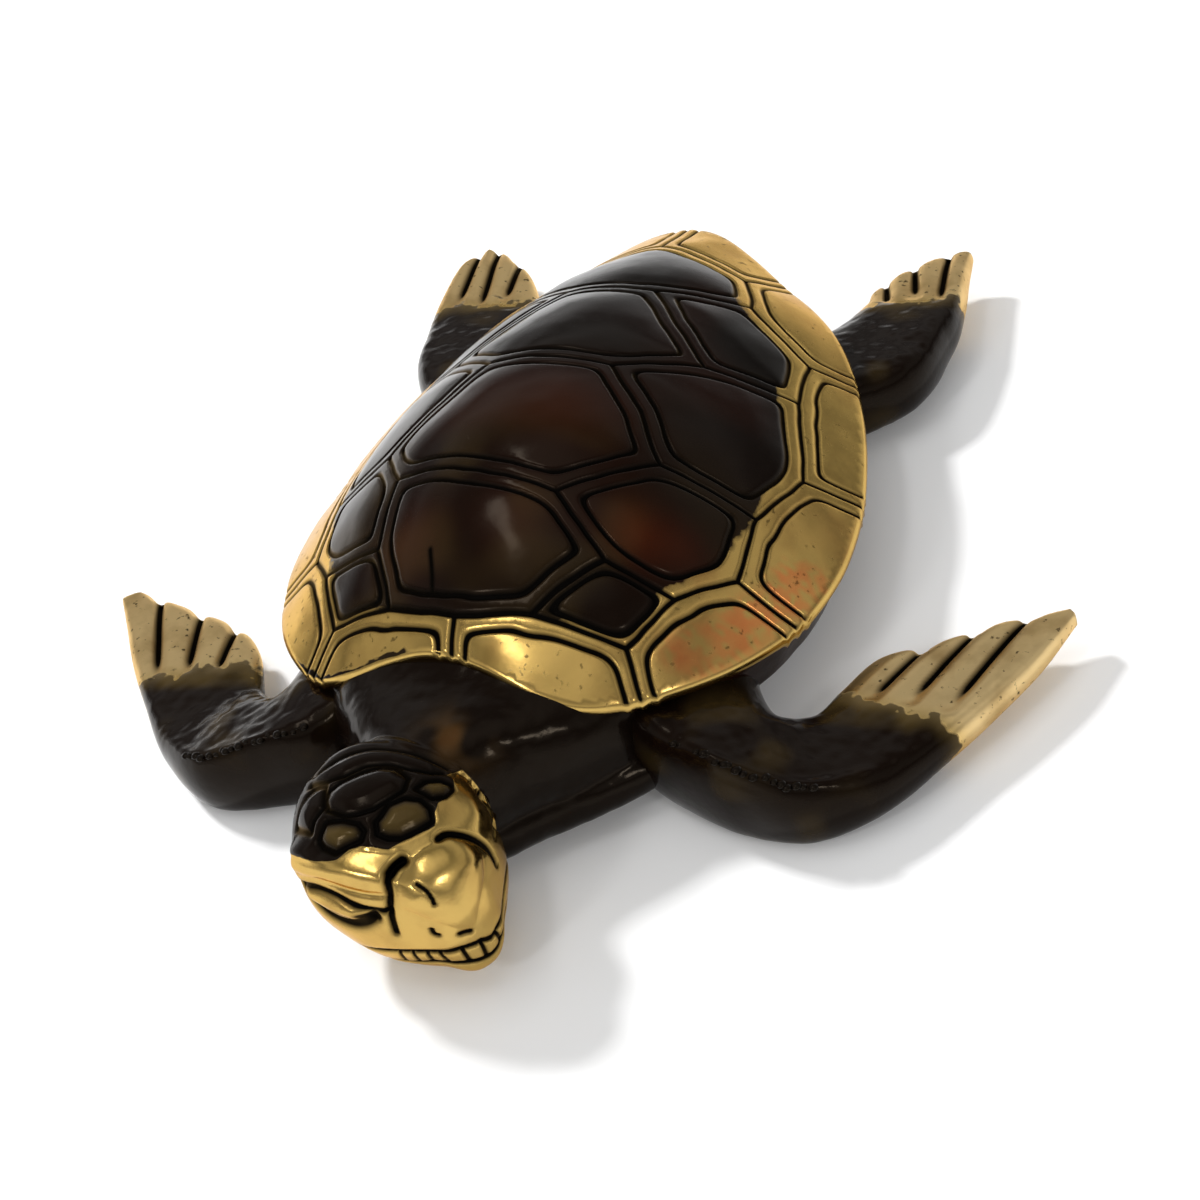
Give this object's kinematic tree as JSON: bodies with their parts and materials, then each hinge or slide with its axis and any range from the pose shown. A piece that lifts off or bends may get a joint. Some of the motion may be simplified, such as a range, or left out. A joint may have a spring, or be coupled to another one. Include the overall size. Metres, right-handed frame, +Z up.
{
  "type": "turtle_figurine",
  "caption": "Patinated brass sea turtle figurine with a scute-patterned domed shell, spread flippers with finger grooves and a head turned to its left",
  "frame": {"origin": "on the flat belly face, under the middle of the shell", "axes": "-Y towards the head, +X towards the animal's left side, +Z up; metres"},
  "size_m": [0.1438, 0.1492, 0.038],
  "materials": {
    "shell_brass": "polished brass under a near-black brown patina on the scutes, bare along the rim plates",
    "dark_brass": "brown-black patina with bare polished brass on the face and flipper tips"
  },
  "bodies": {
    "root": {"carapace": "shell_brass", "plastron": "dark_brass", "head": "dark_brass", "tail": "dark_brass", "front_left_flipper": "dark_brass", "front_right_flipper": "dark_brass", "rear_left_flipper": "dark_brass", "rear_right_flipper": "dark_brass"}
  },
  "joints": []
}
